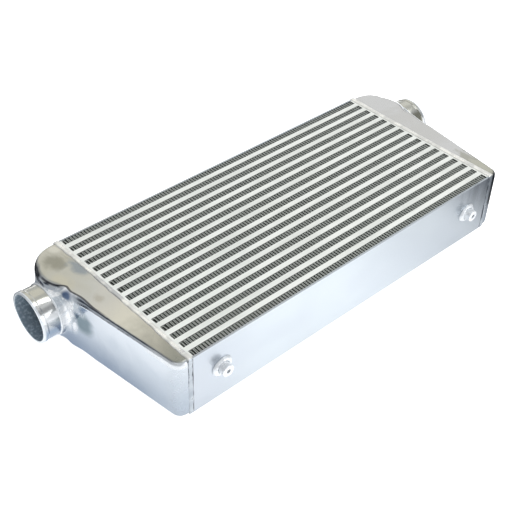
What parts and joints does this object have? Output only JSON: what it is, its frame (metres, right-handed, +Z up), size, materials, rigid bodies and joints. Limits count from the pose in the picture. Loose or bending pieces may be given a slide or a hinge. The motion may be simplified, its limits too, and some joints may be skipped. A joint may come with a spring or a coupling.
{
  "type": "intercooler",
  "caption": "Flat bar-and-plate charge air cooler with slanted cast end tanks, beaded hose stubs at both ends and threaded mounting bungs.",
  "frame": {"origin": "on the surface that the cooler lies on, below the middle of the core", "axes": "+X along the core from the inlet stub to the outlet stub, +Y across the rows towards the side where both stubs are, +Z up through the core"},
  "size_m": [0.78, 0.328, 0.103],
  "materials": {
    "cast_aluminium": "polished casting",
    "sheet_aluminium": "satin rolled sheet",
    "bar_aluminium": "matte extruded bar",
    "air_fin_foil": "brazed foil, dull grey",
    "charge_fin_foil": "brazed foil, dull grey",
    "tube_aluminium": "polished tube",
    "weld_aluminium": "bright rippled weld bead",
    "bung_aluminium": "turned, bright"
  },
  "bodies": {
    "root": {"air_fin_01": "air_fin_foil", "air_fin_02": "air_fin_foil", "air_fin_03": "air_fin_foil", "air_fin_04": "air_fin_foil", "air_fin_05": "air_fin_foil", "air_fin_06": "air_fin_foil", "air_fin_07": "air_fin_foil", "air_fin_08": "air_fin_foil", "air_fin_09": "air_fin_foil", "air_fin_10": "air_fin_foil", "air_fin_11": "air_fin_foil", "air_fin_12": "air_fin_foil", "air_fin_13": "air_fin_foil", "air_fin_14": "air_fin_foil", "air_fin_15": "air_fin_foil", "air_fin_16": "air_fin_foil", "charge_fin_01": "charge_fin_foil", "charge_fin_02": "charge_fin_foil", "charge_fin_03": "charge_fin_foil", "charge_fin_04": "charge_fin_foil", "charge_fin_05": "charge_fin_foil", "charge_fin_06": "charge_fin_foil", "charge_fin_07": "charge_fin_foil", "charge_fin_08": "charge_fin_foil", "charge_fin_09": "charge_fin_foil", "charge_fin_10": "charge_fin_foil", "charge_fin_11": "charge_fin_foil", "charge_fin_12": "charge_fin_foil", "charge_fin_13": "charge_fin_foil", "charge_fin_14": "charge_fin_foil", "charge_fin_15": "charge_fin_foil", "parting_sheets": "bar_aluminium", "face_bars_top": "bar_aluminium", "face_bars_bottom": "bar_aluminium", "side_plate_front": "sheet_aluminium", "side_plate_rear": "sheet_aluminium", "mounting_bungs": "bung_aluminium", "bung_welds": "weld_aluminium", "inlet_end_bars": "bar_aluminium", "inlet_tank": "cast_aluminium", "inlet_stub": "tube_aluminium", "inlet_stub_weld": "weld_aluminium", "inlet_seam_weld": "weld_aluminium", "outlet_end_bars": "bar_aluminium", "outlet_tank": "cast_aluminium", "outlet_stub": "tube_aluminium", "outlet_stub_weld": "weld_aluminium", "outlet_seam_weld": "weld_aluminium"}
  },
  "joints": []
}
